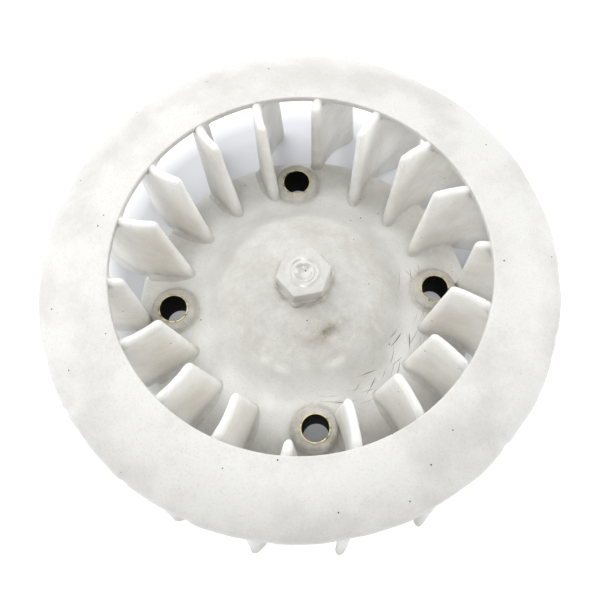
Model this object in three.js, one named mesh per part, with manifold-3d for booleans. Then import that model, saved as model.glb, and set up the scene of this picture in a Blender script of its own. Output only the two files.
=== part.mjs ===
// Cooling fan that bolts to the flywheel of a small scooter engine.
//
// Millimetres, +Z up. The fan stands on the lower ends of its vanes: z = 0 is the plane of those ends and
// the Z axis is the crankshaft's axis. The inlet ring is at the top, and the flywheel sits in the pocket
// under the hub. The fan proper is one plastic moulding, drawn here as its hub, its inlet ring and its
// vanes, each a solid of its own, with four steel sleeves in its bolt bosses.

import * as THREE from "three";
import { mergeVertices } from "three/addons/utils/BufferGeometryUtils.js";
import Module from "manifold-3d";

const wasm = await Module();
wasm.setup();

// Driving dimensions
const BOLT_CIRCLE_RADIUS = 35;
const BOLT_COUNT = 4;
const SEAT_HEIGHT = 9.5; // lower end of the bosses, which bears on the flywheel
const BOSS_TOP = 21.5;
const BOSS_DIAMETER = 11.6;
const SLEEVE_BORE = 7; // clears an M6 bolt
const SLEEVE_WALL = 0.5;
const SLEEVE_PROUD = 0.2; // how far the sleeve stands above its boss

const HUB_RADIUS = 45.5;
const HUB_WALL = 2.6;
const HUB_CENTRE_TOP = 35.5;
const HUB_EDGE_TOP = 14.5;
const HUB_SHELF_RADIUS = 31; // where the dome runs out into the shelf that holds the bosses
const HUB_SHELF_TOP = 20;

const HEX_ACROSS_FLATS = 12.4;
const HEX_TOP = 40.7;
const HEX_TURN = 7; // degrees from the X axis to a corner
const HEX_FOOT_STEP = 0.6; // the foot of the hexagon is this much wider all round
const HEX_FOOT_HEIGHT = 1.2;
const GATE_DIMPLE_RADIUS = 2;
const GATE_DIMPLE_DEPTH = 0.8;

const RING_INNER_RADIUS = 45.9;
const RING_OUTER_RADIUS = 64;
const RING_INNER_TOP = 47.3;
const RING_FALL = 6.2; // how much lower the ring's outer edge is than its inner edge
const RING_WALL = 2;

const VANE_COUNT = 18;
const VANE_FIRST_ANGLE = 2; // degrees, at the radius of the vane tips
const VANE_TIP_RADIUS = 35.3;
const VANE_TIP_TOP = 51.3;
const VANE_ROOT_RADIUS = 31;
const VANE_END_RADIUS = 64.9;
const VANE_FOOT_WIDTH = 2.6; // flat at the lower outer corner, on which the fan stands
const VANE_ARC_RADIUS = 37; // every vane is part of a circle in plan
const VANE_ARC_CENTRE = 53.2; // distance of that circle's centre from the axis
const VANE_TOP_THICKNESS = 2;
const VANE_ROOT_THICKNESS = 3.2;
const SHORT_VANE_TIP_RADIUS = 42; // vanes beside a bolt boss stop short of it
const SHORT_VANE_ROOT_RADIUS = 41.3;
const SHORT_VANE_TIP_TOP = 47.3;

const GAP = 0.3; // kept between neighbouring solids

// Steps of the faceted solids
const TURN_STEPS = 72;
const SMALL_TURN_STEPS = 32;
const PROFILE_STEPS = 7;
const VANE_INNER_STEPS = 4;
const VANE_OUTER_STEPS = 6;
const VANE_HEIGHT_STEPS = 2;

const white = { color: 0xe4e2dc, roughness: 0.5, metalness: 0 };
const zincPlate = { color: 0xb9a66a, roughness: 0.35, metalness: 1 };

const radians = THREE.MathUtils.degToRad;
const lerp = THREE.MathUtils.lerp;

// Joining and cutting ---------------------------------------------------------------------------------

function toSolid(geometry) {
  const bare = geometry.clone();
  bare.deleteAttribute("normal");
  bare.deleteAttribute("uv");
  const merged = mergeVertices(bare, 1e-4);
  const corners = merged.index.array;
  const kept = [];
  for (let i = 0; i < corners.length; i += 3) {
    const [a, b, c] = corners.slice(i, i + 3);
    if (a !== b && b !== c && c !== a) kept.push(a, b, c);
  }
  const vertProperties = new Float32Array(merged.attributes.position.array);
  const triVerts = new Uint32Array(kept);
  return new wasm.Manifold(new wasm.Mesh({ numProp: 3, vertProperties, triVerts }));
}

function toGeometry(solid) {
  const mesh = solid.getMesh();
  const geometry = new THREE.BufferGeometry();
  geometry.setAttribute("position", new THREE.BufferAttribute(mesh.vertProperties, 3));
  geometry.setIndex(new THREE.BufferAttribute(mesh.triVerts, 1));
  return geometry;
}

// Shapes turned about the Z axis ----------------------------------------------------------------------
// A profile runs anticlockwise, seen with the axis on its left: outwards below and inwards above.

function turned(profile, steps) {
  const geometry = new THREE.LatheGeometry(profile, steps);
  geometry.rotateX(Math.PI / 2);
  return geometry;
}

function point(radius, height) {
  return new THREE.Vector2(radius, height);
}

function upright(radius, bottom, top, sides, tipRadius = radius) {
  const geometry = new THREE.CylinderGeometry(tipRadius, radius, top - bottom, sides);
  geometry.rotateX(Math.PI / 2);
  geometry.translate(0, 0, (bottom + top) / 2);
  return geometry;
}

function closed(profile) {
  return [...profile, profile[0].clone()];
}

// Hub -------------------------------------------------------------------------------------------------

const domeCurve = new THREE.CubicBezierCurve(
  point(0, HUB_CENTRE_TOP),
  point(0.85 * HUB_SHELF_RADIUS, HUB_CENTRE_TOP - 1),
  point(0.66 * HUB_SHELF_RADIUS, HUB_SHELF_TOP + 0.5),
  point(HUB_SHELF_RADIUS, HUB_SHELF_TOP),
);

const skirtCurve = new THREE.QuadraticBezierCurve(
  point(HUB_SHELF_RADIUS, HUB_SHELF_TOP),
  point(lerp(HUB_SHELF_RADIUS, HUB_RADIUS, 0.55), HUB_SHELF_TOP - 0.2),
  point(HUB_RADIUS, HUB_EDGE_TOP),
);

const hubTopPoints = [...domeCurve.getPoints(PROFILE_STEPS), ...skirtCurve.getPoints(PROFILE_STEPS).slice(1)];

// Height of the hub's upper face at a radius, along the straight steps of its profile.
function hubTop(radius) {
  let i = 1;
  while (i < hubTopPoints.length - 1 && hubTopPoints[i].x < radius) i += 1;
  const inner = hubTopPoints[i - 1];
  const outer = hubTopPoints[i];
  return lerp(inner.y, outer.y, (radius - inner.x) / (outer.x - inner.x));
}

function hubDisc() {
  const underside = hubTopPoints.map((p) => point(p.x, p.y - HUB_WALL));
  const inwards = [...hubTopPoints].reverse();
  let hub = toSolid(turned([...underside, ...inwards], TURN_STEPS));

  const hexRadius = HEX_ACROSS_FLATS / Math.sqrt(3);
  const footTop = HUB_CENTRE_TOP + HEX_FOOT_HEIGHT;
  const hexBase = HUB_CENTRE_TOP - HUB_WALL / 2;
  const hexagons = [
    upright(hexRadius + HEX_FOOT_STEP, hexBase, footTop, 6),
    upright(hexRadius, hexBase, HEX_TOP, 6),
  ];
  for (const hexagon of hexagons) {
    hexagon.rotateZ(radians(HEX_TURN) + Math.PI / 2);
    hub = hub.add(toSolid(hexagon));
  }
  const dimple = upright(0.7 * GATE_DIMPLE_RADIUS, HEX_TOP - GATE_DIMPLE_DEPTH, HEX_TOP + 1,
    SMALL_TURN_STEPS, 1.3 * GATE_DIMPLE_RADIUS);
  hub = hub.subtract(toSolid(dimple));

  const boreRadius = SLEEVE_BORE / 2 + SLEEVE_WALL + GAP;
  for (let i = 0; i < BOLT_COUNT; i += 1) {
    const boss = upright(BOSS_DIAMETER / 2, SEAT_HEIGHT, BOSS_TOP, SMALL_TURN_STEPS);
    const bore = upright(boreRadius, SEAT_HEIGHT - 1, BOSS_TOP + 1, SMALL_TURN_STEPS);
    hub = hub.add(toSolid(atBolt(boss, boltAngle(i)))).subtract(toSolid(atBolt(bore, boltAngle(i))));
  }
  return toGeometry(hub);
}

function boltAngle(i) {
  return (2 * Math.PI * i) / BOLT_COUNT;
}

function nearestBolt(angle) {
  return boltAngle(Math.round(angle / boltAngle(1)));
}

// Stands a shape that was drawn on the Z axis at a bolt's place.
function atBolt(shape, angle) {
  shape.translate(BOLT_CIRCLE_RADIUS, 0, 0);
  shape.rotateZ(angle);
  return shape;
}

// Inlet ring ------------------------------------------------------------------------------------------

// The ring falls away outwards, slowly at first and then faster.
function ringTop(radius) {
  const across = (radius - RING_INNER_RADIUS) / (RING_OUTER_RADIUS - RING_INNER_RADIUS);
  return RING_INNER_TOP - RING_FALL * across ** 2;
}

function ringUnderside(radius) {
  return ringTop(radius) - RING_WALL;
}

function inletRing() {
  const underside = [];
  for (let i = 0; i <= PROFILE_STEPS; i += 1) {
    const radius = lerp(RING_INNER_RADIUS, RING_OUTER_RADIUS, i / PROFILE_STEPS);
    underside.push(point(radius, ringUnderside(radius)));
  }
  const inwards = underside.map((p) => point(p.x, ringTop(p.x))).reverse();
  return turned(closed([...underside, ...inwards]), TURN_STEPS);
}

// Vanes -----------------------------------------------------------------------------------------------

// Where a vane stands in plan: the angle about its own circle's centre at which that circle, widened or
// narrowed to arcRadius, passes the given radius from the fan's axis, by the law of cosines.
function vanePlace(radius, arcRadius) {
  const cosine = (arcRadius ** 2 + VANE_ARC_CENTRE ** 2 - radius ** 2) / (2 * arcRadius * VANE_ARC_CENTRE);
  const turn = Math.PI - Math.acos(cosine);
  return point(VANE_ARC_CENTRE + arcRadius * Math.cos(turn), arcRadius * Math.sin(turn));
}

const tipPlace = vanePlace(VANE_TIP_RADIUS, VANE_ARC_RADIUS);
const TIP_LEAD = Math.atan2(tipPlace.y, tipPlace.x);

// Upper edge: a straight line from the tip to the ring's lip, then the ring's underside.
function vaneTop(radius, tipRadius, tipTop) {
  const lipRadius = RING_INNER_RADIUS - GAP;
  if (radius > lipRadius + GAP / 10) return ringUnderside(Math.max(radius, RING_INNER_RADIUS)) - GAP;
  return lerp(tipTop, RING_INNER_TOP, (radius - tipRadius) / (lipRadius - tipRadius));
}

// Lower edge: along the hub's upper face, then a straight line from the hub's edge to the foot.
function vaneBottom(radius) {
  const edgeRadius = HUB_RADIUS + GAP;
  const footRadius = VANE_END_RADIUS - VANE_FOOT_WIDTH;
  const edgeBottom = HUB_EDGE_TOP - HUB_WALL;
  if (radius <= edgeRadius) return hubTop(Math.min(radius, HUB_RADIUS)) + GAP;
  return edgeBottom * Math.max(0, (footRadius - radius) / (footRadius - edgeRadius));
}

function vane(angle, short) {
  const tipRadius = short ? SHORT_VANE_TIP_RADIUS : VANE_TIP_RADIUS;
  const rootRadius = short ? SHORT_VANE_ROOT_RADIUS : VANE_ROOT_RADIUS;
  const tipTop = short ? SHORT_VANE_TIP_TOP : VANE_TIP_TOP;
  const columns = VANE_INNER_STEPS + VANE_OUTER_STEPS + 1;
  const step = GAP / 6;

  const geometry = new THREE.BoxGeometry(columns, 1, 1, columns, 1, VANE_HEIGHT_STEPS);
  const place = geometry.attributes.position;
  for (let i = 0; i < place.count; i += 1) {
    const column = Math.round(place.getX(i) + columns / 2);
    const side = 2 * place.getY(i);
    const level = place.getZ(i) + 0.5;
    place.setXYZ(i, ...vanePoint(column, side, level));
  }
  const bossRoom = upright(BOSS_DIAMETER / 2 + GAP, SEAT_HEIGHT, BOSS_TOP + GAP, SMALL_TURN_STEPS);
  return toGeometry(toSolid(geometry).subtract(toSolid(atBolt(bossRoom, nearestBolt(angle)))));

  function vanePoint(column, side, level) {
    const meetRadius = lerp(HUB_RADIUS, RING_INNER_RADIUS - 2 * GAP, level) + GAP;
    let radius;
    if (column <= VANE_INNER_STEPS) {
      radius = lerp(lerp(rootRadius, tipRadius, level), meetRadius, column / VANE_INNER_STEPS);
    } else {
      const outward = (column - VANE_INNER_STEPS - 1) / (VANE_OUTER_STEPS - 1);
      const endRadius = lerp(VANE_END_RADIUS, RING_OUTER_RADIUS, level);
      radius = outward > 1 ? endRadius : lerp(meetRadius + step, endRadius - VANE_FOOT_WIDTH, outward);
    }
    const bottom = vaneBottom(radius);
    const top = vaneTop(radius, tipRadius, tipTop);
    const height = lerp(bottom, top, level);
    const halfThickness = lerp(VANE_ROOT_THICKNESS, VANE_TOP_THICKNESS, level) / 2;
    const plan = vanePlace(radius, VANE_ARC_RADIUS + side * halfThickness);
    plan.rotateAround(point(0, 0), angle - TIP_LEAD);
    return [plan.x, plan.y, height];
  }
}

// Sleeves ---------------------------------------------------------------------------------------------

function boltSleeve() {
  const inner = SLEEVE_BORE / 2;
  const outer = inner + SLEEVE_WALL;
  const top = BOSS_TOP + SLEEVE_PROUD;
  return turned(closed([
    point(inner, SEAT_HEIGHT),
    point(outer, SEAT_HEIGHT),
    point(outer, top),
    point(inner, top),
  ]), SMALL_TURN_STEPS);
}

// Assembly --------------------------------------------------------------------------------------------

const fan = new THREE.Group();

function addPart(name, geometry, finish) {
  const mesh = new THREE.Mesh(geometry, new THREE.MeshStandardMaterial(finish));
  mesh.name = name;
  fan.add(mesh);
  return mesh;
}

addPart("hub_disc", hubDisc(), white);
addPart("inlet_ring", inletRing(), white);

// A vane whose tip would reach over a bolt boss is a short one.
function besideBolt(angle) {
  const offset = Math.abs(angle - nearestBolt(angle));
  return BOLT_CIRCLE_RADIUS * Math.sin(offset) < BOSS_DIAMETER / 2;
}

for (let k = 0; k < VANE_COUNT; k += 1) {
  const angle = radians(VANE_FIRST_ANGLE) + (2 * Math.PI * k) / VANE_COUNT;
  const name = `vane_${String(k + 1).padStart(2, "0")}`;
  addPart(name, vane(angle, besideBolt(angle)), white);
}

for (let i = 0; i < BOLT_COUNT; i += 1) {
  const sleeve = addPart(`bolt_sleeve_${i + 1}`, boltSleeve(), zincPlate);
  sleeve.position.set(BOLT_CIRCLE_RADIUS * Math.cos(boltAngle(i)), BOLT_CIRCLE_RADIUS * Math.sin(boltAngle(i)), 0);
}

export default fan;
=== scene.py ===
"""Moulded cooling fan for a small engine's flywheel, standing on its vanes in a plain studio."""

import math

import bpy
import numpy as np
from bpy.props import FloatProperty, FloatVectorProperty, PointerProperty, StringProperty
from mathutils import Matrix, Vector


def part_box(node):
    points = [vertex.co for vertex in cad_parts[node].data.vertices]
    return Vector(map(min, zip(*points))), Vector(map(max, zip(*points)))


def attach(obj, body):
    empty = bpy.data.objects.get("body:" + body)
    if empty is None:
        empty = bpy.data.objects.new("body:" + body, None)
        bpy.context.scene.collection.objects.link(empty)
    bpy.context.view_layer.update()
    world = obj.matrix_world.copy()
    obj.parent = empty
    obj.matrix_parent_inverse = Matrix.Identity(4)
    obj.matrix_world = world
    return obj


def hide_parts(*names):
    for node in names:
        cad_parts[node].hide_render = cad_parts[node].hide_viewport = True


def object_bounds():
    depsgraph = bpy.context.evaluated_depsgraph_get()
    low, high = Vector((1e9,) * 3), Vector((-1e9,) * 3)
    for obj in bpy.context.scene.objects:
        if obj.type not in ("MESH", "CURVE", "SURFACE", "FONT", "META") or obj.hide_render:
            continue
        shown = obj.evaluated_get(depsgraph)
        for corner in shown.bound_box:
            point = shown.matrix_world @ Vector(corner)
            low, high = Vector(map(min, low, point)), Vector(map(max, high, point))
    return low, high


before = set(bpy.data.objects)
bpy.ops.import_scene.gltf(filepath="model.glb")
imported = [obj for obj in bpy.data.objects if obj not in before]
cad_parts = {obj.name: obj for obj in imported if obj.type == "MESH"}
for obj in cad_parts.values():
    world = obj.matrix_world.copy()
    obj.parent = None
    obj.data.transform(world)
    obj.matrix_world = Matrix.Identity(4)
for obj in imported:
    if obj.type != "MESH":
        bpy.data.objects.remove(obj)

bl_info = {
    "name": "Flywheel cooling fan",
    "version": (1, 0, 0),
    "blender": (4, 5, 0),
    "location": "3D View > Sidebar > Cooling Fan",
    "description": "Builds a moulded centrifugal fan with steel sleeves, and a studio to show it in",
    "category": "Add Mesh",
}

MM = 0.001
CAD_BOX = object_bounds()
HUB_LOW, HUB_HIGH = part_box("hub_disc")
RING_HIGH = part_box("inlet_ring")[1]
SLEEVE_NODES = sorted(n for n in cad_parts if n.startswith("bolt_sleeve"))
VANE_NODES = sorted(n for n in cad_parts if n.startswith("vane"))
SLEEVE_LOW, SLEEVE_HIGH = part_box(SLEEVE_NODES[0])
SLEEVE_RADIUS = (SLEEVE_HIGH[0] - SLEEVE_LOW[0]) / 2
FULL_VANE_TOP = CAD_BOX[1][2]


# Sizes and colours that a user may change ---------------------------------------------------------------

def length(name, description, default):
    """A length in metres, shown with its unit."""
    return FloatProperty(name=name, description=description, default=default, unit="LENGTH", precision=5)


def angle(name, description, degrees):
    """An angle, given here in degrees."""
    return FloatProperty(name=name, description=description, default=math.radians(degrees), unit="ROTATION")


def colour(name, description, code):
    """A colour kept as its sRGB hex code."""
    return StringProperty(name=name, description=description, default=code)


class HubSettings(bpy.types.PropertyGroup):
    """The domed disc, its hexagonal boss and its four bolt bosses."""
    radius: length("Radius", "Outer radius of the disc", HUB_HIGH[0])
    wall: length("Wall", "Thickness of the disc", 2.6 * MM)
    centre_top: length("Centre top", "Height of the dome's middle", 35.5 * MM)
    edge_top: length("Edge top", "Height of the disc's upper face at its edge", 14.5 * MM)
    shelf_radius: length("Shelf radius", "Where the dome runs out into the shelf", 31 * MM)
    shelf_top: length("Shelf top", "Height of the shelf at the foot of the dome", 20 * MM)
    boss_radius: length("Boss radius", "Outer radius of a bolt boss", 5.8 * MM)
    boss_top: length("Boss top", "Height of the bolt bosses", 21.5 * MM)
    boss_fillet: length("Boss fillet", "Radius where a boss runs into the disc", 0.9 * MM)
    hex_flat: length("Hexagon", "Width of the hexagonal boss across its flats", 12.4 * MM)
    hex_turn: angle("Hexagon turn", "Angle from +X to a corner of the hexagon", 7)
    hex_step: length("Hexagon step", "How much wider the hexagon's foot is, all round", 0.6 * MM)


class RingSettings(bpy.types.PropertyGroup):
    """The wide ring that joins the vanes' upper edges."""
    inner_radius: length("Inner radius", "Radius of the inlet", 45.9 * MM)
    fall: length("Fall", "How much lower the ring is at its outer edge", 6.2 * MM)
    wall: length("Wall", "Thickness of the ring", 2 * MM)
    lip_round: length("Lip rounding", "Radius of the inlet lip's corners", 0.45 * MM)
    rim_round: length("Rim rounding", "Radius of the outer edge's upper corner", 1.8 * MM)
    waviness: length("Waviness", "How far the ring has warped as it cooled", 0.12 * MM)


class VaneSettings(bpy.types.PropertyGroup):
    """The swept vanes."""
    first_angle: angle("First angle", "Angle of the first vane's tip", 2)
    tip_radius: length("Tip radius", "Radius of the inner top corner", 35.3 * MM)
    root_radius: length("Root radius", "Radius where the inner edge meets the hub", 31 * MM)
    short_tip_radius: length("Short tip radius", "Inner top corner of a vane beside a bolt", 42 * MM)
    short_root_radius: length("Short root radius", "Foot of the inner edge beside a bolt", 41.3 * MM)
    end_radius: length("End radius", "Radius of the lower outer corner", 64.9 * MM)
    foot_width: length("Foot width", "Flat at the lower outer corner", 2.6 * MM)
    arc_radius: length("Arc radius", "Radius of a vane's curve in plan", 37 * MM)
    arc_centre: length("Arc centre", "Distance of that curve's centre from the axis", 53.2 * MM)
    tip_half: length("Tip half thickness", "Half thickness at the free upper edge", 1.0 * MM)
    root_half: length("Root half thickness", "Half thickness at the hub", 1.6 * MM)
    foot_half: length("Foot half thickness", "Half thickness at the lower outer corner", 1.3 * MM)
    hub_fillet: length("Hub fillet", "Radius where a vane runs into the hub", 1.5 * MM)
    ring_fillet: length("Ring fillet", "Radius where a vane runs into the ring", 2.2 * MM)
    root_sweep: length("Root sweep", "Radius by which the inner edge runs out onto the hub", 0.6 * MM)
    edge_round: length("Edge rounding", "Depth of the rounding of the free edges", 1.4 * MM)
    tip_round: length("Tip rounding", "Radius of the inner top corner, seen from the side", 1.8 * MM)
    corner_round: length("Corner rounding", "Radius of the lower outer corner, seen from the side", 1.3 * MM)


class SleeveSettings(bpy.types.PropertyGroup):
    """The steel sleeves in the bolt bosses."""
    wall: length("Wall", "Thickness of the sheet", 0.5 * MM)
    edge_round: length("Edge rounding", "Radius of the ends' edges", 0.14 * MM)


class FinishSettings(bpy.types.PropertyGroup):
    """Colours of the plastic, the plating, the dirt and the painted shade."""
    nylon: colour("Nylon", "Clean moulded nylon", "#EDECE8")
    nylon_aged: colour("Aged nylon", "The same nylon where heat has yellowed it", "#E0DED9")
    # This colour paints both road dust and painted shade in the corners, creases and low places.
    grime: colour("Grime", "Road dust pressed into the corners", "#8A8068")
    scratch: colour("Scratches", "Dirt in the hairline scratches", "#57503F")
    speck: colour("Specks", "Burnt specks in the moulding and grit on it", "#2A251D")
    zinc: colour("Zinc plate", "Yellow passivated zinc", "#D9CFA6")
    # Dark patches on the zinc, and the near black of the bore, which is painted shade for the depth of the
    # hole.
    oxide_and_bore_shade: colour("Oxide", "Darkened steel inside the sleeves", "#080706")


class StageSettings(bpy.types.PropertyGroup):
    """Camera, floor and lights."""
    camera_distance: length("Distance", "Camera to the point it looks at", 0.2207)
    camera_elevation: angle("Elevation", "Height of the camera's axis above the horizon", 68.6)
    camera_azimuth: angle("Azimuth", "Turn of the camera's axis from +Y towards -X", -11.3)
    camera_roll: angle("Roll", "Turn of the picture about the camera's axis", 6.18)
    aim: FloatVectorProperty(name="Aim", description="Point on the camera's axis", size=3, unit="LENGTH",
                             default=(0.0158, 0.0040, 0.0215), precision=5)
    lens: FloatProperty(name="Lens", description="Focal length on a 36 mm sensor", default=48.9)
    shift: FloatVectorProperty(name="Shift", description="Off-centre framing", size=2,
                               default=(-0.1047, -0.0335))
    floor: colour("Floor", "Plain pale table top", "#D9DBDF")


SETTINGS = {
    "fan_hub": HubSettings,
    "fan_ring": RingSettings,
    "fan_vane": VaneSettings,
    "fan_sleeve": SleeveSettings,
    "fan_finish": FinishSettings,
    "fan_stage": StageSettings,
}


# Curves and grids ----------------------------------------------------------------------------------------

def bezier(corners, steps):
    """Points on the Bezier curve of the given corners: their average, weighted binomially."""
    t = np.linspace(0, 1, steps)[:, None]
    order = len(corners) - 1
    weights = [math.comb(order, i) * t**i * (1 - t) ** (order - i) for i in range(order + 1)]
    return sum(w * np.array(c) for w, c in zip(weights, corners))


def fillet(distance, radius):
    """How far a fillet of this radius stands out from a wall, at a distance from the face it runs into:
    the radius less the height of a quarter circle, and nothing past the radius."""
    reach = np.clip(1 - distance / radius, 0, 1)
    return radius * (1 - np.sqrt(np.clip(1 - reach**2, 0, 1)))


def rounding(distance, radius):
    """Share of the full thickness at a distance from a rounded edge: a quarter circle, from 0 to 1."""
    short = np.clip(1 - distance / radius, 0, 1)
    return np.sqrt(np.clip(1 - short**2, 0, 1))


def smooth(value):
    """An even step from 0 to 1: three times the square less twice the cube."""
    value = np.clip(value, 0, 1)
    return value**2 * (3 - 2 * value)


def eased(count):
    """Numbers from 0 to 1, close together at the start as the cosine of even angles is."""
    return 1 - np.cos(np.linspace(0, math.pi / 2, count))


def rounded_section(corners, radii, steps=6):
    """A closed outline with each corner replaced by a curve that starts and ends at the corner's radius."""
    corners = np.array(corners, float)
    parts = []
    for corner, before, after, radius in zip(corners, np.roll(corners, 1, 0), np.roll(corners, -1, 0), radii):
        start = corner + (before - corner) / np.linalg.norm(before - corner) * radius
        end = corner + (after - corner) / np.linalg.norm(after - corner) * radius
        parts.append(bezier([start, corner, end], steps))
    return np.concatenate(parts)


def grid_faces(rows, columns, wrap_rows=False, wrap_columns=False):
    """Quads between neighbouring rows and columns of a grid numbered row by row."""
    i = np.arange(rows if wrap_rows else rows - 1)[:, None]
    j = np.arange(columns if wrap_columns else columns - 1)[None, :]
    above = (i + 1) % rows
    beside = (j + 1) % columns
    quads = [i * columns + j, i * columns + beside, above * columns + beside, above * columns + j]
    return np.stack([np.broadcast_to(q, (i.size, j.size)) for q in quads], axis=-1).reshape(-1, 4)


def turned(section, steps):
    """A closed section (radius, height) carried round the Z axis: radius times cosine and sine."""
    turn = np.linspace(0, 2 * math.pi, steps, endpoint=False)
    radius, height = section[:, :1], section[:, 1:]
    points = np.stack([radius * np.cos(turn), radius * np.sin(turn), height + 0 * turn], axis=-1)
    return points.reshape(-1, 3), grid_faces(len(section), steps, True, True)[:, ::-1]


def new_piece(name, shells, materials, **attributes):
    """A mesh object made of shells, each a pair of points and faces, shaded smooth, with a number at each
    point for each attribute."""
    points = np.concatenate([p for p, f in shells])
    faces, start = [], 0
    for p, f in shells:
        faces += [[corner + start for corner in face] for face in (f if isinstance(f, list) else f.tolist())]
        start += len(p)
    mesh = bpy.data.meshes.new(name)
    mesh.from_pydata(points.tolist(), [], faces)
    mesh.polygons.foreach_set("use_smooth", np.ones(len(faces), bool))
    for attribute, values in attributes.items():
        mesh.attributes.new(attribute, "FLOAT", "POINT").data.foreach_set("value", values.astype(np.float32))
    for material in materials:
        mesh.materials.append(material)
    mesh.validate()
    piece = bpy.data.objects.new(name, mesh)
    bpy.context.scene.collection.objects.link(piece)
    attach(piece, "root")
    return piece


# The outlines that the pieces share ----------------------------------------------------------------------

def hub_top_curve(hub):
    """The hub's upper outline: a cubic curve over the dome, then a quadratic one over the shelf."""
    dome = bezier([
        (0, hub.centre_top),
        (0.85 * hub.shelf_radius, hub.centre_top - 1 * MM),
        (0.66 * hub.shelf_radius, hub.shelf_top + 0.5 * MM),
        (hub.shelf_radius, hub.shelf_top),
    ], 60)
    skirt = bezier([
        (hub.shelf_radius, hub.shelf_top),
        (0.45 * hub.shelf_radius + 0.55 * hub.radius, hub.shelf_top - 0.2 * MM),
        (hub.radius, hub.edge_top),
    ], 40)
    return np.concatenate([dome, skirt[1:]])


def hub_top(hub, radius):
    """Height of the hub's upper face at a radius."""
    curve = hub_top_curve(hub)
    return np.interp(radius, curve[:, 0], curve[:, 1])


def ring_top(ring, radius):
    """Height of the ring's upper face: it falls with the square of the distance across."""
    across = (radius - ring.inner_radius) / (RING_HIGH[0] - ring.inner_radius)
    return RING_HIGH[2] - ring.fall * np.clip(across, 0, None) ** 2


# Materials -----------------------------------------------------------------------------------------------

def linear(code):
    """A hex sRGB colour as linear red, green, blue and alpha."""
    values = [int(code[i:i + 2], 16) / 255 for i in (1, 3, 5)]
    return [v / 12.92 if v <= 0.04045 else ((v + 0.055) / 1.055) ** 2.4 for v in values] + [1.0]


def add_node(tree, kind, inputs=None, **settings):
    """Adds a node, sets its properties, then fills its inputs with values or links from (node, output)."""
    node = tree.nodes.new("ShaderNode" + kind)
    for key, value in settings.items():
        setattr(node, key, value)
    for key, value in (inputs or {}).items():
        if isinstance(value, tuple) and isinstance(value[0], bpy.types.Node):
            tree.links.new(value[0].outputs[value[1]], node.inputs[key])
        else:
            node.inputs[key].default_value = value
    return node


def new_material(name):
    """A material with an empty node tree, and that tree."""
    material = bpy.data.materials.new(name)
    material.use_nodes = True
    tree = material.node_tree
    tree.nodes.clear()
    return material, tree


def hairlines(tree, place):
    """Hairline scratches where the scuff attribute says: a noise of radius and turn, of which only the
    peaks show, skewed each way off the circle about the axis."""
    scuff = add_node(tree, "Attribute", attribute_name="scuff")
    axes = add_node(tree, "SeparateXYZ", {"Vector": (place, "Object")})
    turn = add_node(tree, "Math", {0: (axes, "Y"), 1: (axes, "X")}, operation="ARCTAN2")
    flat = add_node(tree, "CombineXYZ", {"X": (axes, "X"), "Y": (axes, "Y")})
    radius = add_node(tree, "VectorMath", {0: (flat, "Vector")}, operation="LENGTH")
    # Each is 0.4 mm wide, drawn wider than real, and 9 mm long at a radius of 29.5 mm.
    across = add_node(tree, "Math", {0: (radius, "Value"), 1: 1 / (0.4 * MM)}, operation="MULTIPLY")
    along = add_node(tree, "Math", {0: (turn, "Value"), 1: 29.5 / 9}, operation="MULTIPLY")
    streaks = []
    for skew in (34.0, -16.0):
        wander = add_node(tree, "Math", {0: (turn, "Value"), 1: skew, 2: (across, "Value")},
                          operation="MULTIPLY_ADD")
        lie = add_node(tree, "CombineXYZ", {"X": (wander, "Value"), "Y": (along, "Value"), "Z": skew})
        streak = add_node(tree, "TexNoise", {"Vector": (lie, "Vector"), "Scale": 1.0, "Detail": 1.0,
                                             "Distortion": 0.3})
        streaks.append(add_node(tree, "MapRange", {"Value": (streak, "Fac"), "From Min": 0.665,
                                                   "From Max": 0.75}))
    both = add_node(tree, "Math", {0: (streaks[0], "Result"), 1: (streaks[1], "Result")},
                    operation="MAXIMUM")
    return add_node(tree, "Math", {0: (both, "Value"), 1: (scuff, "Fac")}, operation="MULTIPLY")


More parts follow.
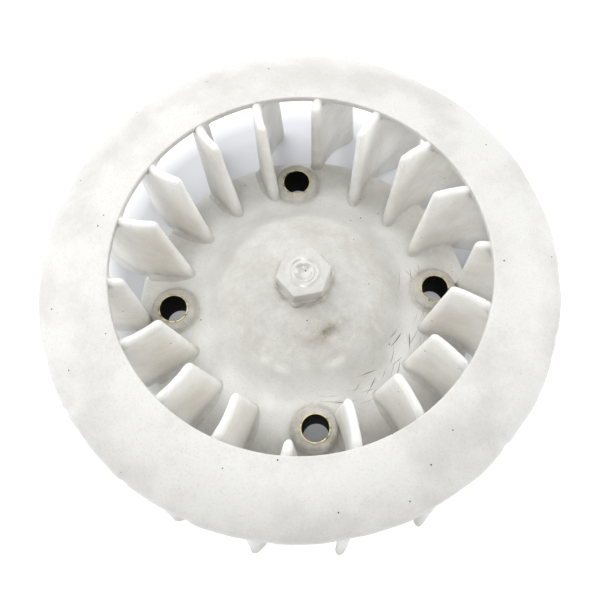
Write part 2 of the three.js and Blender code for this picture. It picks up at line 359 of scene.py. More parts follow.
def moulded_nylon(finish):
    """Injection-moulded natural nylon: an off-white plastic that light enters a little way, with a satin
    skin, faint flow marks, a few burnt specks, and road dust and painted shade in its corners. The attributes
    are grime, for the dust and the painted shade; scuff and gloss, for its finish; pale, for painted light;
    and thin, which is 1 on a free wall 2 mm thick, where light comes through from the far side, and 0 on a
    thick one."""
    material, tree = new_material("moulded_natural_nylon")
    place = add_node(tree, "TexCoord")
    # Cloudy patches about 14 mm across, where the skin of the moulding took up heat and oil unevenly.
    clouds = add_node(tree, "TexNoise", {"Vector": (place, "Object"), "Scale": 1 / (14 * MM), "Detail": 4.0,
                                         "Roughness": 0.6})
    aged = add_node(tree, "ValToRGB", {"Fac": (clouds, "Fac")})
    aged.color_ramp.elements[0].position = 0.38
    aged.color_ramp.elements[0].color = linear(finish.nylon_aged)
    aged.color_ramp.elements[1].position = 0.58
    aged.color_ramp.elements[1].color = linear(finish.nylon)
    # Dust in the corners, and painted shade in the corners and creases, broken up by a 2.5 mm grain.
    dust = add_node(tree, "Attribute", attribute_name="grime")
    grain = add_node(tree, "TexNoise", {"Vector": (place, "Object"), "Scale": 1 / (2.5 * MM), "Detail": 5.0,
                                        "Roughness": 0.7})
    patchy = add_node(tree, "MapRange", {"Value": (grain, "Fac"), "From Min": 0.3, "From Max": 0.7,
                                         "To Min": 0.45, "To Max": 1.25})
    dust_and_shade_share = add_node(tree, "Math", {0: (dust, "Fac"), 1: (patchy, "Result")}, operation="MULTIPLY",
                     use_clamp=True)
    dusted_and_shaded = add_node(tree, "Mix", {"Factor": (dust_and_shade_share, "Value"), "A": (aged, "Color"),
                                    "B": linear(finish.grime)}, data_type="RGBA", blend_type="MIX")
    # A fine 0.5 mm grit all over, which greys the white a little, drawn coarser than real.
    grit = add_node(tree, "TexNoise", {"Vector": (place, "Object"), "Scale": 1 / (0.5 * MM), "Detail": 3.0,
                                       "Roughness": 0.8})
    gritty = add_node(tree, "MapRange", {"Value": (grit, "Fac"), "From Min": 0.52, "From Max": 0.75,
                                         "To Min": 0.0, "To Max": 0.24})
    dusted_and_shaded = add_node(tree, "Mix", {"Factor": (gritty, "Result"), "A": (dusted_and_shaded, "Result"),
                                    "B": linear(finish.grime)}, data_type="RGBA", blend_type="MIX")
    # Specks up to 0.4 mm across, at the middle of cells 5 mm wide.
    cells = add_node(tree, "TexVoronoi", {"Vector": (place, "Object"), "Scale": 1 / (5 * MM)})
    speck = add_node(tree, "Math", {0: (cells, "Distance"), 1: 0.2 / 5}, operation="LESS_THAN")
    scratch = hairlines(tree, place)
    scratched = add_node(tree, "Mix", {"Factor": (scratch, "Value"), "A": (dusted_and_shaded, "Result"),
                                       "B": linear(finish.scratch)}, data_type="RGBA", blend_type="MIX")
    specked = add_node(tree, "Mix", {"Factor": (speck, "Value"), "A": (scratched, "Result"),
                                     "B": linear(finish.speck)}, data_type="RGBA", blend_type="MIX")
    # Painted light: greyer by a sixth where the pale attribute is 0, so thick pieces such as the ring are
    # painted darker; where pale is 1 the colour is full, and above 1 it is painted brighter still.
    pale = add_node(tree, "Attribute", attribute_name="pale")
    kept = add_node(tree, "MapRange", {"Value": (pale, "Fac"), "To Min": 0.83, "To Max": 1.0},
                    clamp=False)
    body = add_node(tree, "VectorMath", {0: (specked, "Result"), "Scale": (kept, "Result")},
                    operation="SCALE")
    # The skin: ripples of 3 mm from the flow of the melt over a fine 0.5 mm etch, drawn coarser than real.
    ripple = add_node(tree, "TexNoise", {"Vector": (place, "Object"), "Scale": 1 / (3 * MM), "Detail": 3.0})
    etch = add_node(tree, "TexNoise", {"Vector": (place, "Object"), "Scale": 1 / (0.5 * MM), "Detail": 2.0})
    skin = add_node(tree, "Bump", {"Height": (ripple, "Fac"), "Strength": 0.45, "Distance": 0.3 * MM})
    skin = add_node(tree, "Bump", {"Height": (etch, "Fac"), "Normal": (skin, "Normal"), "Strength": 0.2,
                                   "Distance": 0.05 * MM})
    # Satin, from 0.34 to 0.50 with the clouds, and shiny, with a second clear glint from the coat, where
    # the gloss attribute says it was rubbed.
    sheen = add_node(tree, "MapRange", {"Value": (clouds, "Fac"), "From Min": 0.3, "From Max": 0.7,
                                        "To Min": 0.34, "To Max": 0.50})
    gloss = add_node(tree, "Attribute", attribute_name="gloss")
    sheen = add_node(tree, "Mix", {"Factor": (gloss, "Fac"), "A": (sheen, "Result"), "B": 0.08},
                     data_type="FLOAT")
    thin = add_node(tree, "Attribute", attribute_name="thin")
    scatter = add_node(tree, "MapRange", {"Value": (thin, "Fac"), "To Min": 0.15, "To Max": 1.0})
    depth = add_node(tree, "MapRange", {"Value": (thin, "Fac"), "To Min": 1 * MM, "To Max": 5 * MM})
    shader = add_node(tree, "BsdfPrincipled", {
        "Base Color": (body, "Vector"),
        "Roughness": (sheen, "Result"),
        "Normal": (skin, "Normal"),
        "IOR": 1.53,
        "Coat Weight": (gloss, "Fac"),
        "Coat Roughness": 0.05,
        "Subsurface Weight": (scatter, "Result"),
        "Subsurface Radius": (1.0, 0.94, 0.86),
        "Subsurface Scale": (depth, "Result"),
    })
    add_node(tree, "OutputMaterial", {"Surface": (shader, "BSDF")})
    return material


def zinc_plated_steel(finish):
    """Rolled steel tube, zinc plated and yellow passivated: a straw-coloured metal with dull patches."""
    material, tree = new_material("yellow_zinc_plated_steel")
    place = add_node(tree, "TexCoord")
    stain = add_node(tree, "TexNoise", {"Vector": (place, "Object"), "Scale": 1 / (1.2 * MM), "Detail": 4.0})
    tint = add_node(tree, "ValToRGB", {"Fac": (stain, "Fac")})
    tint.color_ramp.elements[0].position = 0.25
    tint.color_ramp.elements[0].color = linear(finish.oxide_and_bore_shade)
    tint.color_ramp.elements[1].position = 0.52
    tint.color_ramp.elements[1].color = linear(finish.zinc)
    dull = add_node(tree, "MapRange", {"Value": (stain, "Fac"), "To Min": 0.6, "To Max": 0.25})
    shader = add_node(tree, "BsdfPrincipled", {
        "Base Color": (tint, "Color"),
        "Roughness": (dull, "Result"),
        "Metallic": 1.0,
    })
    add_node(tree, "OutputMaterial", {"Surface": (shader, "BSDF")})
    return material


# The lighter patches in the bore's painted shade.
BORE_SHADE_PATCH = "#15110C"


def steel_painted_dark(finish):
    """The tube's bore, painted nearly black and dull as painted shade for the depth of the hole, so that it
    gives back little light.
    """
    material, tree = new_material("bore_steel_painted_dark")
    place = add_node(tree, "TexCoord")
    scale = add_node(tree, "TexNoise", {"Vector": (place, "Object"), "Scale": 1 / (1.5 * MM), "Detail": 3.0})
    tint = add_node(tree, "ValToRGB", {"Fac": (scale, "Fac")})
    tint.color_ramp.elements[0].color = linear(finish.oxide_and_bore_shade)
    tint.color_ramp.elements[1].color = linear(BORE_SHADE_PATCH)
    shader = add_node(tree, "BsdfPrincipled", {"Base Color": (tint, "Color"), "Roughness": 0.75,
                                               "Specular IOR Level": 0.15})
    add_node(tree, "OutputMaterial", {"Surface": (shader, "BSDF")})
    return material


def shared_material(make):
    """The material that a function makes, made once."""
    scene = bpy.context.scene
    key = "fan_" + make.__name__
    if key not in scene or scene[key] not in bpy.data.materials:
        scene[key] = make(scene.fan_finish).name
    return bpy.data.materials[scene[key]]


# Hub -----------------------------------------------------------------------------------------------------

DENT_DEPTH = 0.55 * MM

# Each dent on the dome: its place in mm, the angle of its longer axis in degrees, its half length and
# half width in mm.
DENTS = (
    ((-11.5, -17.5), -35, 2.4, 0.8),
    ((-7.5, -20.0), -25, 2.0, 0.8),
    ((6.5, -19.5), 25, 2.2, 0.8),
    ((17.5, -12.0), -50, 1.6, 0.7),
)


# The hub disc's grid: its rows across the disc and round the rim, its steps round the axis, and the radius
# at which it stops short of the axis.
DISC_ROWS = 92
RIM_ROWS = 9
DISC_STEPS = 360
AXIS_GAP = 0.4 * MM


def hub_disc(hub, bolts):
    """The domed disc. Its upper and lower faces are one polar grid at two heights; the cells round each
    bolt are left out, and walls join the two faces along the edges of those cells. The grid's inner end is
    left open, as a small hole at the axis."""
    rim = 0.5 * hub.wall
    radii = np.concatenate([
        [AXIS_GAP],
        np.linspace(1 * MM, hub.radius - rim, DISC_ROWS),
        hub.radius - rim + rim * np.sin(np.linspace(0, math.pi / 2, RIM_ROWS))[1:],
    ])
    turn = np.linspace(0, 2 * math.pi, DISC_STEPS, endpoint=False)
    x = radii[:, None] * np.cos(turn)
    y = radii[:, None] * np.sin(turn)
    middle = hub_top(hub, radii) - rim
    half = rim * np.sqrt(np.clip(1 - (np.clip(radii - (hub.radius - rim), 0, None) / rim) ** 2, 0, 1))
    flat = 0 * turn
    top = np.stack([x, y, (middle + half)[:, None] + flat], axis=-1)
    under = np.stack([x, y, (middle - half)[:, None] + flat], axis=-1)
    under[-1] = top[-1]
    top[..., 2] -= DENT_DEPTH * hub_dents(top)

    def cell_centre(values):
        beside = np.roll(values, -1, axis=1)
        return (values[:-1] + values[1:] + beside[:-1] + beside[1:]) / 4

    away = np.min([np.hypot(cell_centre(x) - bx, cell_centre(y) - by) for bx, by in bolts], axis=0)
    kept = away > (SLEEVE_RADIUS + hub.boss_radius) / 2
    rows = len(radii)
    below = rows * DISC_STEPS
    quads = grid_faces(rows, DISC_STEPS, False, True).reshape(rows - 1, DISC_STEPS, 4)
    faces = [quads[kept], quads[kept][:, ::-1] + below]
    inner_kept, outer_kept = np.ones_like(kept), np.ones_like(kept)
    inner_kept[1:] = kept[:-1]
    outer_kept[:-1] = kept[1:]
    # Whether each neighbour of a cell is kept, and the cell's two corners on that side.
    sides = (
        (np.roll(kept, 1, 1), 0, 3),
        (np.roll(kept, -1, 1), 2, 1),
        (inner_kept, 1, 0),
        (outer_kept, 3, 2),
    )
    for neighbour, a, b in sides:
        start, end = quads[kept & ~neighbour][:, [a, b]].T
        faces.append(np.stack([start, end, end + below, start + below], axis=1))
    points = np.concatenate([top.reshape(-1, 3), under.reshape(-1, 3)])
    faces = np.concatenate(faces)
    # The two faces share the last row, at the middle of the rim.
    shared = below + np.arange((rows - 1) * DISC_STEPS, below)
    faces = np.where(np.isin(faces, shared), faces - below, faces)
    return points, faces[:, ::-1]


def bolt_boss(hub, bolt):
    """A bolt boss: a closed section carried round the bolt's axis. Rows near the disc follow its upper or
    lower face, so the fillets lie on the dome; the others stand at heights of their own."""
    bore = SLEEVE_RADIUS
    seat = HUB_LOW[2]
    outer = hub.boss_radius
    steps = 72
    sweep = np.linspace(0, math.pi / 2, 8)
    foot = np.stack([outer + hub.boss_fillet * (1 - np.sin(sweep)), hub.boss_fillet * (1 - np.cos(sweep))], 1)
    chamfer = 0.7 * MM
    top = hub.boss_top
    edge = bezier([(outer, top - chamfer), (outer, top), (outer - chamfer, top)], 6)
    low_edge = bezier([(outer - 0.3 * MM, seat), (outer, seat), (outer, seat + 0.3 * MM)], 4)
    # Each row: radius, share of the disc's upper face, share of its lower face, height on top of those.
    rows = [(bore, 0, 0, seat), (bore, 0, 0, top)]
    rows += [(bore + 0.15 * MM, 0, 0, top), (outer - 1.6 * MM, 0, 0, top)]
    rows += [(r, 0, 0, z) for r, z in edge[::-1]]
    rows += [(r, 1, 0, z) for r, z in foot[::-1]]
    rows += [(r, 0, 1, -z) for r, z in foot]
    rows += [(r, 0, 0, z) for r, z in low_edge[::-1]]
    rows = np.array(rows)
    turn = np.linspace(0, 2 * math.pi, steps, endpoint=False)
    x = bolt[0] + rows[:, :1] * np.cos(turn)
    y = bolt[1] + rows[:, :1] * np.sin(turn)
    upper = hub_top(hub, np.hypot(x, y))
    z = rows[:, 1:2] * upper + rows[:, 2:3] * (upper - hub.wall) + rows[:, 3:4]
    return np.stack([x, y, z], -1).reshape(-1, 3), grid_faces(len(rows), steps, True, True)


def hexagon_radius(turn, apothem, first_corner):
    """A hexagon with rounded corners: the apothem over a high power mean of the cosines to its six flats."""
    flats = first_corner + math.radians(30) + np.arange(6)[:, None] * math.radians(60)
    power = 34
    mean = np.sum(np.clip(np.cos(turn - flats), 0, None) ** power, axis=0) ** (1 / power)
    return apothem / mean


def hex_boss(hub):
    """The hexagonal boss: rounded hexagons stacked from inside the dome to the flat top, then circles
    over the ridges of the gate mark and down into its dimple."""
    steps = 192
    turn = np.linspace(0, 2 * math.pi, steps, endpoint=False)
    apothem = hub.hex_flat / 2
    top = HUB_HIGH[2]
    foot = hub.centre_top + 1.2 * MM
    buried = hub.centre_top - 2 * MM
    edge = 0.45 * MM
    foot_edge = 0.3 * MM
    draft = 0.1 * MM
    foot_curve = bezier([(0, 0), (0, foot_edge), (foot_edge, foot_edge)], 4)
    edge_curve = bezier([(0, 0), (0, edge), (edge, edge)], 6)
    # Each row: height, and how much the apothem differs from that of the hexagon's sides.
    rows = [(buried, hub.hex_step), (foot - foot_edge, hub.hex_step)]
    rows += [(foot - foot_edge + z, hub.hex_step - r) for r, z in foot_curve]
    rows += [(foot + 0.08 * MM, 0.15 * MM), (foot + 0.3 * MM, 0.02 * MM)]
    rows += [(top - edge + z, -r - draft) for r, z in edge_curve]
    outline = [(z, hexagon_radius(turn, apothem + grow, hub.hex_turn)) for z, grow in rows]
    # The gate mark, each row in mm: radius, and height above the flat top.
    gate = [(4.6, 0.0), (4.0, 0.0), (3.8, 0.16), (3.5, 0.2), (3.3, 0.02), (3.0, -0.1), (2.7, 0.02),
            (2.4, 0.04), (2.1, -0.2), (1.8, -0.5), (1.3, -0.72), (0.8, -0.82), (0.3, -0.86)]
    outline += [(top + z * MM, r * MM + 0 * turn) for r, z in gate]
    points = [np.stack([r * np.cos(turn), r * np.sin(turn), z + 0 * turn], -1) for z, r in outline]
    count = len(points)
    points = np.concatenate(points + [np.array([[0, 0, top - 0.87 * MM], [0, 0, buried]])])
    faces = grid_faces(count, steps, False, True)
    ring = np.arange(steps)
    beside = (ring + 1) % steps
    last = (count - 1) * steps
    middle = np.full(steps, len(points) - 2)
    foot_middle = np.full(steps, len(points) - 1)
    cap = np.stack([last + ring, last + beside, middle], 1)
    base = np.stack([beside, ring, foot_middle], 1)
    return points, faces.tolist() + cap.tolist() + base.tolist()


def bolt_places():
    """The bolts' places, from the sleeves' boxes."""
    places = []
    for name in SLEEVE_NODES:
        low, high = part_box(name)
        places.append(((low[0] + high[0]) / 2, (low[1] + high[1]) / 2))
    return places


def spot(points, place, turn, long, short):
    """An oval patch on the hub: a Gaussian of the distances along and across its longer axis."""
    x, y = points[..., 0] - place[0] * MM, points[..., 1] - place[1] * MM
    a = math.radians(turn)
    along = (x * math.cos(a) + y * math.sin(a)) / (long * MM)
    across = (y * math.cos(a) - x * math.sin(a)) / (short * MM)
    return np.exp(-along**2 - across**2)


def upper_side(hub, points):
    """1 on the hub's upper side and 0 under it."""
    return points[:, 2] > hub_top(hub, np.hypot(points[:, 0], points[:, 1])) - hub.wall / 2


def hub_dents(points):
    """Where the dome has been knocked: a few oval hollows, 0 to 1."""
    return np.max([spot(points, *dent) for dent in DENTS], axis=0)


def hub_grime(hub, points, bolts):
    """Dust and painted shade on the hub: over the dome, where the air comes in, dust and painted shade that
    dims its lit top, and more outwards from the dome's foot. Round the bosses and the hexagon it is painted
    shade in the creases at their feet, with dust, thinning with distance, and the bosses' tops are darker; a
    stain lies on the dome's near slope."""
    radius = np.hypot(points[:, 0], points[:, 1])
    shelf = 0.18 * smooth((radius - 31 * MM) / (9 * MM))
    boss = np.min([np.hypot(points[:, 0] - x, points[:, 1] - y) for x, y in bolts], axis=0)
    # Painted shade with dust in the crease round each boss's foot, and a darker top on each boss.
    ring = 0.50 * np.exp(-np.abs(boss - hub.boss_radius - 0.4 * MM) / (0.8 * MM))
    ring = ring + 0.36 * (boss < hub.boss_radius - 0.2 * MM)
    # Painted shade with dust in the crease round the hexagon's foot.
    hexagon = 0.55 * np.exp(-np.abs(radius - 0.56 * hub.hex_flat) / (0.5 * MM))
    hexagon = hexagon * (points[:, 2] < HUB_HIGH[2] - 2 * MM)
    # Dust over the dome, and painted shade that dims its lit top.
    dome_dust_and_shade = 0.24 * smooth((26 * MM - radius) / (8 * MM))
    stain = 0.5 * spot(points, (4.4, -13.2), 25, 4.2, 1.3) + 0.18 * spot(points, (2, -14), 15, 9, 5)
    return np.clip(shelf + ring + (dome_dust_and_shade + hexagon + stain) * upper_side(hub, points), 0, 0.9)


def hub_scuffs(hub, points):
    """Where tools have slipped on the hub: a band at the foot of the dome, from straight right to front."""
    radius = np.hypot(points[:, 0], points[:, 1])
    turn = np.degrees(np.arctan2(points[:, 1], points[:, 0]))
    band = np.exp(-((radius - 28.5 * MM) / (3.5 * MM)) ** 2)
    return band * smooth((turn + 95) / 20) * smooth((35 - turn) / 25) * upper_side(hub, points)


def hub_painted_light(hub, points):
    """Painted light: the dome's steep flank is painted paler than its top, the shelf in between, and the
    dents are painted white as painted highlights."""
    radius = np.hypot(points[:, 0], points[:, 1])
    flank = smooth((radius - 13 * MM) / (8 * MM)) * (1 - 0.6 * smooth((radius - 28 * MM) / (5 * MM)))
    return flank + 1.2 * hub_dents(points) * upper_side(hub, points)


def hub_gloss(points):
    """Where the hub is rubbed smooth: the dents and the gate mark."""
    radius = np.hypot(points[:, 0], points[:, 1])
    gate = smooth((4.5 * MM - radius) / (1 * MM)) * (points[:, 2] > HUB_HIGH[2] - 2 * MM)
    return np.clip(hub_dents(points) + gate, 0, 1)


class FAN_OT_hub(bpy.types.Operator):
    """Make the domed hub with its hexagonal boss and its bolt bosses"""
    bl_idname = "fan.hub"
    bl_label = "Hub"

    def execute(self, context):
        hub = context.scene.fan_hub
        bolts = bolt_places()
        shells = [hub_disc(hub, bolts)] + [bolt_boss(hub, b) for b in bolts] + [hex_boss(hub)]
        points = np.concatenate([shell[0] for shell in shells])
        piece = new_piece("hub_moulding", shells, [shared_material(moulded_nylon)],
                          grime=hub_grime(hub, points, bolts), scuff=hub_scuffs(hub, points),
                          gloss=hub_gloss(points), pale=hub_painted_light(hub, points))
        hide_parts("hub_disc")
        return {"FINISHED"}


# Ring ----------------------------------------------------------------------------------------------------

RING_STEPS = 432

# Each nick in the ring's rim: its angle in degrees, its depth in mm and its half width in degrees.
NICKS = ((-47, 0.5, 0.9), (-118, 0.35, 1.1), (-152, 0.45, 0.8), (-20, 0.4, 1.0), (-133, 0.4, 0.7))


def ring_section(ring):
    """The ring's section: its falling upper face and the same line one wall lower, with rounded corners."""
    outer = RING_HIGH[0]
    across = np.linspace(ring.inner_radius + 1.5 * MM, outer - 2.5 * MM, 26)
    upper = np.stack([across, ring_top(ring, across)], 1)
    lower = upper - [0, ring.wall]
    inner_top = (ring.inner_radius, ring_top(ring, ring.inner_radius))
    inner_low = (ring.inner_radius, inner_top[1] - ring.wall)
    rim_top = (outer, ring_top(ring, outer))
    rim_low = (outer, rim_top[1] - ring.wall)

    def corner(at, before, after, radius):
        at = np.array(at)
        start = at + (np.array(before) - at) / np.linalg.norm(np.array(before) - at) * radius
        end = at + (np.array(after) - at) / np.linalg.norm(np.array(after) - at) * radius
        return bezier([start, at, end], 8)

    return np.concatenate([
        corner(inner_low, inner_top, lower[0], ring.lip_round),
        lower,
        corner(rim_low, lower[-1], rim_top, 0.35 * ring.rim_round),
        corner(rim_top, rim_low, upper[-1], 0.8 * ring.rim_round),
        upper[::-1],
        corner(inner_top, upper[0], inner_low, ring.lip_round),
    ])


class FAN_OT_inlet_ring(bpy.types.Operator):
    """Make the wide ring round the inlet"""
    bl_idname = "fan.inlet_ring"
    bl_label = "Inlet ring"

    def execute(self, context):
        ring = context.scene.fan_ring
        points, faces = turned(ring_section(ring), RING_STEPS)
        turn = np.arctan2(points[:, 1], points[:, 0])
        radius = np.hypot(points[:, 0], points[:, 1])
        # Warp: slow waves round the ring, largest at its outer edge and always inwards or downwards.
        share = (radius - ring.inner_radius) / (RING_HIGH[0] - ring.inner_radius)
        wave = (np.sin(3 * turn + 0.6) + 0.6 * np.sin(7 * turn + 2.1) + 0.4 * np.sin(18 * turn)) / 2
        points[:, 2] -= ring.waviness * share * (1 + wave)
        # The rim is drawn in a little between the vanes, and nicked in a few places.
        drawn_in = 0.12 * MM * (1 + np.cos(18 * turn + 1.3)) + 0.06 * MM * (1 + np.sin(41 * turn))
        nicks = sum(depth * MM * np.exp(-((np.degrees(turn) - at) / wide) ** 2) for at, depth, wide in NICKS)
        points[:, :2] *= 1 - ((drawn_in + nicks) * smooth((share - 0.7) / 0.3) / radius)[:, None]
        grime = np.full(len(points), 0.02)
        # The ring has no pale attribute, so its whole colour is painted greyer by a sixth: painted shade.
        piece = new_piece("inlet_ring_moulding", [(points, faces)], [shared_material(moulded_nylon)],
                          grime=grime)
        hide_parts("inlet_ring")
        return {"FINISHED"}


# Vanes ---------------------------------------------------------------------------------------------------

def vane_plan(vane, radius, offset, tip_angle):
    """A vane's place in plan. Its middle line is a circle about a centre out to one side; the angle about
    that centre follows from the law of cosines, and the offset is square to that line."""
    arc, reach = vane.arc_radius, vane.arc_centre

    def turn_at(distance):
        cosine = (arc**2 + reach**2 - distance**2) / (2 * arc * reach)
        return math.pi - np.arccos(np.clip(cosine, -1, 1))

    tip = turn_at(vane.tip_radius)
    lead = math.atan2(arc * math.sin(tip), reach + arc * math.cos(tip))
    turn = turn_at(radius)
    x = reach + (arc + offset) * np.cos(turn)
    y = (arc + offset) * np.sin(turn)
    a = tip_angle - lead
    return x * math.cos(a) - y * math.sin(a), x * math.sin(a) + y * math.cos(a)


def vane_shell(scene, tip_angle, short):
    """One vane: a grid over its side view, from inner to outer edge and from hub to ring, and a half
    thickness at each point. The thickness falls to nothing along a quarter circle at the edges and swells
    by a fillet near the hub and the ring; the two sides stand that far each way from the middle. The
    upper and lower boundaries run on inside the ring and the hub, so no edge shows there."""
    hub, ring, vane = scene.fan_hub, scene.fan_ring, scene.fan_vane
    root_radius = vane.short_root_radius if short else vane.root_radius
    tip_radius = vane.short_tip_radius if short else vane.tip_radius
    tip_top = RING_HIGH[2] if short else FULL_VANE_TOP
    lip = ring.inner_radius
    in_hub = hub.wall / 2
    in_ring = ring.wall / 2

    def lower(radius):
        foot = vane.end_radius - vane.foot_width
        free = (hub.edge_top - hub.wall) * np.clip((foot - radius) / (foot - hub.radius - 0.3 * MM), 0, None)
        free = free + fillet(vane.end_radius - radius, vane.corner_round)
        inside = smooth((hub.radius - 1.2 * MM - radius) / (1.5 * MM))
        return free * (1 - inside) + (hub_top(hub, radius) - in_hub) * inside

    def upper(radius):
        at_lip = RING_HIGH[2] - 0.35 * MM
        free = tip_top + (at_lip - tip_top) * (radius - tip_radius) / (lip - tip_radius)
        free = free - fillet(radius - tip_radius, vane.tip_round)
        inside = smooth((radius - lip - 0.6 * MM) / (1.0 * MM))
        return free * (1 - inside) + (ring_top(ring, radius) - in_ring) * inside

    # Rows: how far above the lower boundary, or below the upper one, each stands, and its rough level.
    nominal = 32 * MM
    low_round = 1.0 * MM
    near_hub = np.concatenate([low_round * eased(7), np.linspace(low_round, in_hub + 3.2 * MM, 12)[1:]])
    near_ring = np.concatenate([vane.edge_round * eased(8),
                                np.linspace(vane.edge_round, in_ring + 2.6 * MM, 8)[1:]])
    between = np.linspace(0, 1, 14)[1:-1]
    share = np.concatenate([0 * near_hub, between, 1 + 0 * near_ring])[:, None]
    rise = np.concatenate([near_hub, near_hub[-1] + 0 * between, 0 * near_ring])[:, None]
    drop = np.concatenate([0 * near_hub, near_ring[-1] + 0 * between, near_ring[::-1]])[:, None]
    level = share + (rise * (1 - share) - drop * share) / nominal

    sweep = fillet(np.clip(rise - in_hub, 0, None), vane.root_sweep) * (share == 0)
    inner = root_radius + (tip_radius - root_radius) * level - sweep
    outer = vane.end_radius + (RING_HIGH[0] - 1.2 * MM - vane.end_radius) * level
    lead_zone = 3.2 * MM
    lip_start, lip_end = lip - 0.3 * MM, lip + 1.8 * MM
    trail_zone = 3 * MM
    ramp = np.linspace(0, 1, 10)[1:]
    radius = np.concatenate([
        inner + lead_zone * eased(12),
        inner + lead_zone + (lip_start - inner - lead_zone) * ramp,
        0 * inner + lip_start + (lip_end - lip_start) * ramp,
        lip_end + (outer - trail_zone - lip_end) * ramp,
        outer - trail_zone * eased(10)[::-1][1:],
    ], axis=1)
    base, crown = lower(radius), upper(radius)
    height = (base + rise) * (1 - share) + (crown - drop) * share
    level = np.broadcast_to(level, radius.shape)

    outward = np.clip((radius - 42 * MM) / (10 * MM), 0, 1)
    inner_half = vane.root_half + (vane.tip_half - vane.root_half) * level
    outer_half = vane.foot_half + (vane.root_half - vane.foot_half) * level
    half = inner_half * (1 - outward) + outer_half * outward
    lead = radius - inner
    trail = outer - radius
    above_hub = np.clip(height - hub_top(hub, radius), 0, None)
    below_ring = np.clip(ring_top(ring, radius) - ring.wall - height, 0, None)
    on_hub = smooth(lead / (6 * MM)) * smooth((hub.radius - radius) / (3 * MM))
    under_ring = smooth((radius - lip) / (0.7 * MM)) * smooth(trail / (4 * MM))
    half = half + fillet(above_hub, vane.hub_fillet) * on_hub
    half = half + fillet(below_ring, vane.ring_fillet) * under_ring
    bow = vane.root_half + 1.6 * sweep
    half = half * rounding(lead, bow) * rounding(trail, vane.edge_round)
    half = half * rounding(crown - height, vane.edge_round) * rounding(height - base, low_round)
    half[0], half[-1], half[:, 0], half[:, -1] = 0, 0, 0, 0

    count = radius.size
    sides = []
    for sign in (1, -1):
        x, y = vane_plan(vane, radius, sign * half, tip_angle)
        sides.append(np.stack([x, y, height], -1).reshape(-1, 3))
    number = np.arange(count).reshape(radius.shape)
    other = number + count
    other[0], other[-1], other[:, 0], other[:, -1] = number[0], number[-1], number[:, 0], number[:, -1]
    quads = grid_faces(*radius.shape)
    faces = np.concatenate([quads, other.ravel()[quads][:, ::-1]])
    # Dust and painted shade low on the vane near the hub, fading out past the hub's edge.
    grime = (0.08 + 0.26 * smooth((radius - 31 * MM) / (9 * MM))) * np.exp(-above_hub / (8 * MM))
    grime = grime * smooth((hub.radius + 5 * MM - radius) / (5 * MM))
    # Painted shade on the vane's lower outer end, under the ring and near the floor.
    grime = grime + 0.3 * smooth((radius - 57 * MM) / (5 * MM)) * smooth(1.2 - height / (16 * MM))
    thin = smooth((above_hub - 0.3 * MM) / (4.5 * MM)) * smooth((below_ring + lip - radius) / (2 * MM))
    thin = thin * (1 - 0.85 * smooth((radius - 50 * MM) / (8 * MM)))
    grime, thin = np.tile(grime.ravel(), 2), np.tile(thin.ravel(), 2)
    points = np.concatenate(sides)
    used = np.unique(faces)
    renumber = np.zeros(len(points), int)
    renumber[used] = np.arange(len(used))
    return points[used], renumber[faces], grime[used], thin[used]


class FAN_OT_vanes(bpy.types.Operator):
    """Make the swept vanes, the short ones beside the bolts included"""
    bl_idname = "fan.vanes"
    bl_label = "Vanes"

    def execute(self, context):
        scene = context.scene
        for k, name in enumerate(VANE_NODES):
            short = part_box(name)[1][2] < FULL_VANE_TOP - 1 * MM
            tip_angle = scene.fan_vane.first_angle + 2 * math.pi * k / len(VANE_NODES)
            points, faces, grime, thin = vane_shell(scene, tip_angle, short)
            # pale is thin here: the vanes' free walls are painted brighter, painted light in place of light
            # coming through them, and painted darker at the root and under the ring.
            piece = new_piece(name + "_moulding", [(points, faces)], [shared_material(moulded_nylon)],
                              grime=grime, thin=thin, pale=thin)
            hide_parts(name)
        return {"FINISHED"}


# Sleeves -------------------------------------------------------------------------------------------------

SLEEVE_STEPS = 96


class FAN_OT_sleeves(bpy.types.Operator):
    """Make the thin steel sleeves in the bolt bosses"""
    bl_idname = "fan.sleeves"
    bl_label = "Bolt sleeves"

    def execute(self, context):
        sleeve = context.scene.fan_sleeve
        outer = SLEEVE_RADIUS
        inner = outer - sleeve.wall
        low, high = SLEEVE_LOW[2], SLEEVE_HIGH[2]
        section = rounded_section([(inner, low), (outer, low), (outer, high), (inner, high)],
                                  [sleeve.edge_round] * 4)
        for name, (x, y) in zip(SLEEVE_NODES, bolt_places()):
            points, faces = turned(section, SLEEVE_STEPS)
            points = points + [x, y, 0]
            piece = new_piece(name + "_tube", [(points, faces)],
                              [shared_material(zinc_plated_steel), shared_material(steel_painted_dark)])
            # The bore's wall and the first bit of its rounded ends take the bore's colour, painted near black
            # as painted shade.
            centres = points[faces].mean(axis=1) - [x, y, 0]
            bore = np.hypot(centres[:, 0], centres[:, 1]) < inner + 0.1 * sleeve.wall
            piece.data.polygons.foreach_set("material_index", bore.astype(np.int32))
            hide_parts(name)
        return {"FINISHED"}


# Stage ---------------------------------------------------------------------------------------------------

def add_area_light(name, place, target, size, power):
    """A square soft light at a place, facing a target."""
    light = bpy.data.lights.new(name, "AREA")
    light.size = size
    light.energy = power
    lamp = bpy.data.objects.new(name, light)
    lamp.location = place
    lamp.rotation_euler = (Vector(target) - Vector(place)).to_track_quat("-Z", "Y").to_euler()
    bpy.context.scene.collection.objects.link(lamp)


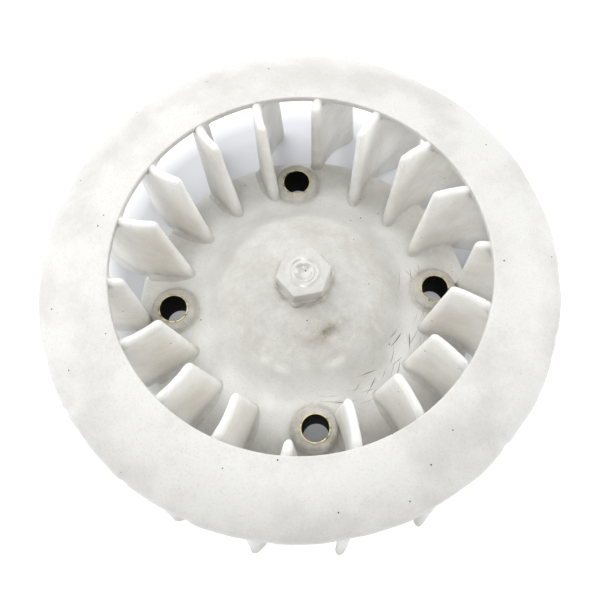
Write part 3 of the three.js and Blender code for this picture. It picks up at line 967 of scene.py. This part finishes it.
class FAN_OT_stage(bpy.types.Operator):
    """Make the floor, the lights and the camera"""
    bl_idname = "fan.stage"
    bl_label = "Stage"

    def execute(self, context):
        scene = context.scene
        stage = scene.fan_stage
        floor_size = 3.0
        mesh = bpy.data.meshes.new("table_top")
        half = floor_size / 2
        corners = [(-half, -half, 0), (half, -half, 0), (half, half, 0), (-half, half, 0)]
        mesh.from_pydata(corners, [], [(0, 1, 2, 3)])
        floor = bpy.data.objects.new("table_top", mesh)
        scene.collection.objects.link(floor)
        # Painted light: the table top glows evenly all round the fan, and not at all under it and just behind
        # it, which washes the fan's shadow on it out to white.
        material, tree = new_material("pale_table_top")
        place = add_node(tree, "TexCoord")
        away = add_node(tree, "VectorMath", {0: (place, "Object"), 1: (0.0, 16 * MM, 0.0)},
                        operation="DISTANCE")
        glow = add_node(tree, "MapRange", {"Value": (away, "Value"), "From Min": 52 * MM,
                                           "From Max": 62 * MM, "To Min": 0.0, "To Max": 0.55})
        shader = add_node(tree, "BsdfPrincipled", {"Base Color": linear(stage.floor), "Roughness": 0.8,
                                                   "Emission Color": (1.0, 1.0, 1.0, 1.0),
                                                   "Emission Strength": (glow, "Result")})
        add_node(tree, "OutputMaterial", {"Surface": (shader, "BSDF")})
        mesh.materials.append(material)

        world = bpy.data.worlds.new("studio")
        scene.world = world
        world.use_nodes = True
        background = world.node_tree.nodes["Background"]
        background.inputs["Color"].default_value = (0.97, 0.985, 1.0, 1.0)
        background.inputs["Strength"].default_value = 0.46

        target = (0, 0, 0.03)
        add_area_light("key_back", (-0.25, 0.50, 0.65), target, 0.8, 4.0)
        # Small enough to glint on the rubbed places.
        add_area_light("fill_front", (-0.05, -0.30, 0.88), target, 0.28, 2.0)
        add_area_light("panel_left", (-0.75, 0.10, 0.40), target, 0.6, 2.6)
        add_area_light("panel_right", (0.75, 0.10, 0.45), target, 0.6, 3.4)

        camera_data = bpy.data.cameras.new("camera")
        camera = bpy.data.objects.new("camera", camera_data)
        scene.collection.objects.link(camera)
        a, e = stage.camera_azimuth, stage.camera_elevation
        forward = Vector((-math.sin(a) * math.cos(e), math.cos(a) * math.cos(e), -math.sin(e)))
        level = forward.to_track_quat("-Z", "Y").to_matrix()
        turned_camera = level @ Matrix.Rotation(stage.camera_roll, 3, "Z")
        eye = Vector(stage.aim) - forward * stage.camera_distance
        camera.matrix_world = Matrix.Translation(eye) @ turned_camera.to_4x4()
        camera_data.lens = stage.lens
        camera_data.sensor_width = 36
        camera_data.shift_x, camera_data.shift_y = stage.shift
        camera_data.clip_start = 0.01
        scene.camera = camera
        scene.view_settings.view_transform = "Standard"
        return {"FINISHED"}


class FAN_PT_panel(bpy.types.Panel):
    """Buttons that build the fan piece by piece"""
    bl_idname = "FAN_PT_panel"
    bl_label = "Cooling Fan"
    bl_space_type = "VIEW_3D"
    bl_region_type = "UI"
    bl_category = "Cooling Fan"

    def draw(self, context):
        for operator in OPERATORS:
            self.layout.operator(operator.bl_idname)


OPERATORS = (FAN_OT_stage, FAN_OT_hub, FAN_OT_inlet_ring, FAN_OT_vanes, FAN_OT_sleeves)
CLASSES = (*SETTINGS.values(), *OPERATORS, FAN_PT_panel)


def register():
    for cls in CLASSES:
        bpy.utils.register_class(cls)
    for name, group in SETTINGS.items():
        setattr(bpy.types.Scene, name, PointerProperty(type=group))


def unregister():
    for name in SETTINGS:
        delattr(bpy.types.Scene, name)
    for cls in reversed(CLASSES):
        bpy.utils.unregister_class(cls)


def main():
    register()
    for operator in OPERATORS:
        group, name = operator.bl_idname.split(".")
        getattr(getattr(bpy.ops, group), name)()


if __name__ == "__main__":
    main()
